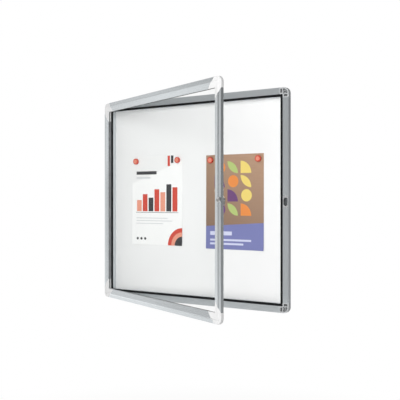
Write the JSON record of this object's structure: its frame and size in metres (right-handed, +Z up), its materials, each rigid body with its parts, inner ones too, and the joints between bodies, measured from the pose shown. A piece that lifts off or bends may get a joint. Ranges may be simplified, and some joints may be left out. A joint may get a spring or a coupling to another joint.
{
  "type": "lockable notice board",
  "caption": "Lockable wall notice board: shallow aluminium case with a white magnetic panel, and a glazed ridged-frame door hinged on its left edge with a cam lock.",
  "frame": {"origin": "centre of the four wall screws, on the wall's face", "axes": "+X to the right seen from the front, +Y into the wall, +Z up; the front faces -Y and the door is stored 22.5 degrees open"},
  "size_m": [0.7108, 0.3087, 0.668],
  "materials": {
    "anodised_aluminium": "satin anodised extrusion",
    "back_sheet": "galvanised sheet",
    "cap_plastic": "moulded pale grey plastic, satin gloss",
    "clear_glass": "clear pane",
    "corner_plastic": "moulded light grey plastic",
    "fibre_core": "fibre board, hidden",
    "gasket_rubber": "grey channel strip",
    "keeper_plastic": "grey insert",
    "lock_chrome": "bright chrome",
    "paper_left": "printed sheet",
    "paper_right": "printed sheet",
    "red_magnet": "red capped magnet",
    "seal_rubber": "black rubber strip",
    "white_enamel": "white enamelled steel sheet",
    "zinc_steel": "zinc plated"
  },
  "bodies": {
    "case": {"case_corner_bottom_hinge": "corner_plastic", "case_corner_bottom_lock": "corner_plastic", "case_corner_top_hinge": "corner_plastic", "case_corner_top_lock": "corner_plastic", "case_rail_bottom": "anodised_aluminium", "case_rail_top": "anodised_aluminium", "case_stile_hinge": "anodised_aluminium", "case_stile_lock": "anodised_aluminium", "keeper": "keeper_plastic", "magnets": "red_magnet", "notice_left": "paper_left", "notice_right": "paper_right", "panel_back": "back_sheet", "panel_core": "fibre_core", "panel_sheet": "white_enamel", "seal_bottom": "seal_rubber", "seal_hinge": "seal_rubber", "seal_lock": "seal_rubber", "seal_top": "seal_rubber"},
    "door": {"door_cap_bottom_hinge": "cap_plastic", "door_cap_bottom_lock": "cap_plastic", "door_cap_top_hinge": "cap_plastic", "door_cap_top_lock": "cap_plastic", "door_rail_bottom": "anodised_aluminium", "door_rail_top": "anodised_aluminium", "door_stile_hinge": "anodised_aluminium", "door_stile_lock": "anodised_aluminium", "gasket_bottom": "gasket_rubber", "gasket_hinge": "gasket_rubber", "gasket_lock": "gasket_rubber", "gasket_top": "gasket_rubber", "hinge_pin_bottom": "zinc_steel", "hinge_pin_top": "zinc_steel", "lock_clip": "zinc_steel", "lock_housing": "lock_chrome", "pane": "clear_glass"},
    "lock_cylinder": {"cam_screw": "zinc_steel", "lock_cam": "zinc_steel", "lock_plug": "lock_chrome"}
  },
  "joints": [
    {"name": "door_swing", "type": "hinge", "parent": "case", "child": "door", "pos_m": [-0.3505, -0.031, 0], "axis": [0, 0, -1], "range_deg": [-22.5, 72.5]},
    {"name": "lock_turn", "type": "hinge", "parent": "door", "child": "lock_cylinder", "pos_m": [0.29285, -0.29315, 0.0012], "axis": [0.3827, 0.9239, 0], "range_deg": [0, 90]}
  ]
}
